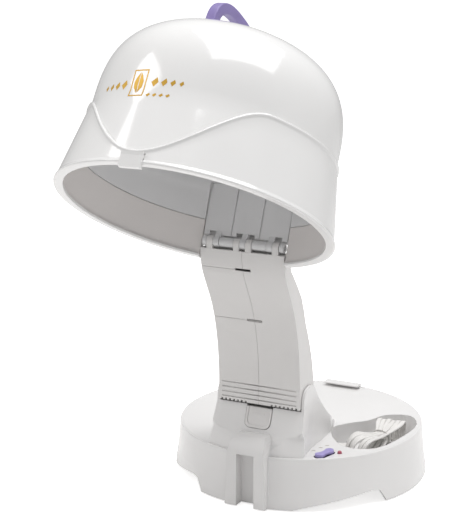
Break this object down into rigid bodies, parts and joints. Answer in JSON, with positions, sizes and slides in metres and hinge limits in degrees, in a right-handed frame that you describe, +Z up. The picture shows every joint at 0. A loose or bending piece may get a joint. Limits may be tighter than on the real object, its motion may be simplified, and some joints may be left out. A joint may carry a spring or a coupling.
{
  "type": "hood hair dryer",
  "caption": "Folding table-top hood hair dryer: a deep bonnet hinged on a hollow arm that rises from a round base with blower, heater, rocker switch and cord well.",
  "frame": {"origin": "middle of the bounding box of everything but the free cord, at the level the rubber feet stand on", "axes": "+Z up; the front of the base, with the latch recess and the mouth of the hood, faces -Y; +X is on the side of the switch and the cord well"},
  "size_m": [0.34, 0.6216, 0.635],
  "materials": {
    "white": "gloss",
    "inner_white": "satin",
    "violet": "satin",
    "dark_plastic": "matt",
    "lamp_red": "gloss",
    "rubber": "matt",
    "steel": "brushed",
    "resistance_wire": "bright",
    "mica": "matt",
    "cord_pvc": "satin"
  },
  "bodies": {
    "base": {"base_shell": "white", "bottom_cover": "white", "rubber_foot_front": "rubber", "rubber_foot_right": "rubber", "rubber_foot_rear": "rubber", "rubber_foot_left": "rubber", "cover_screw_front_left": "steel", "cover_screw_front_right": "steel", "cover_screw_rear_left": "steel", "cover_screw_rear_right": "steel", "rear_hook": "white", "blower_scroll": "inner_white", "blower_motor": "steel", "riser_duct": "inner_white", "heater_frame": "mica", "heater_coil": "resistance_wire", "thermal_cutout": "steel", "button_spring": "steel", "switch_body": "dark_plastic", "lamp_lens": "lamp_red", "strain_relief": "cord_pvc", "cord_lead": "cord_pvc", "cord_hank": "cord_pvc", "plug_body": "cord_pvc", "plug_blade_inner": "steel", "plug_blade_outer": "steel", "fold_axle_left": "steel", "fold_axle_right": "steel"},
    "arm": {"arm_shell_left": "white", "arm_shell_right": "white", "hinge_pin": "steel"},
    "hood": {"hood_dome": "white", "hood_skirt": "white", "hood_inner_band": "inner_white", "hood_liner": "inner_white", "duct_cover": "inner_white", "handle": "violet"},
    "latch": {"latch_tab": "white"},
    "button": {"release_button": "white"},
    "switch": {"switch_cap": "violet"},
    "fan": {"fan_wheel": "dark_plastic"}
  },
  "joints": [
    {"name": "arm_fold", "type": "hinge", "parent": "base", "child": "arm", "pos_m": [0, 0.03784, 0.114], "axis": [1, 0, 0], "range_deg": [-112, 0]},
    {"name": "hood_fold", "type": "hinge", "parent": "arm", "child": "hood", "pos_m": [0, -0.03716, 0.344], "axis": [1, 0, 0], "range_deg": [0, 140]},
    {"name": "latch_flex", "type": "hinge", "parent": "hood", "child": "latch", "pos_m": [0, -0.30235, 0.49396], "axis": [1, 0, 0], "range_deg": [-10, 0], "stiffness_Nm_per_rad": 0.5},
    {"name": "button_press", "type": "slide", "parent": "base", "child": "button", "axis": [0, 1, 0], "range_m": [0, 0.003], "stiffness_N_per_m": 800, "springref_m": -0.001},
    {"name": "switch_rock", "type": "hinge", "parent": "base", "child": "switch", "pos_m": [0.085, 0.02184, 0.066], "axis": [0.9563, -0.2924, 0], "range_deg": [-8, 8]},
    {"name": "fan_spin", "type": "hinge", "parent": "base", "child": "fan", "pos_m": [-0.037, 0.18284, 0.044], "axis": [0, 0, 1], "continuous": true}
  ],
  "couplings": [
    {"joint": "hood_fold", "follows": "arm_fold", "ratio": -1.25}
  ]
}
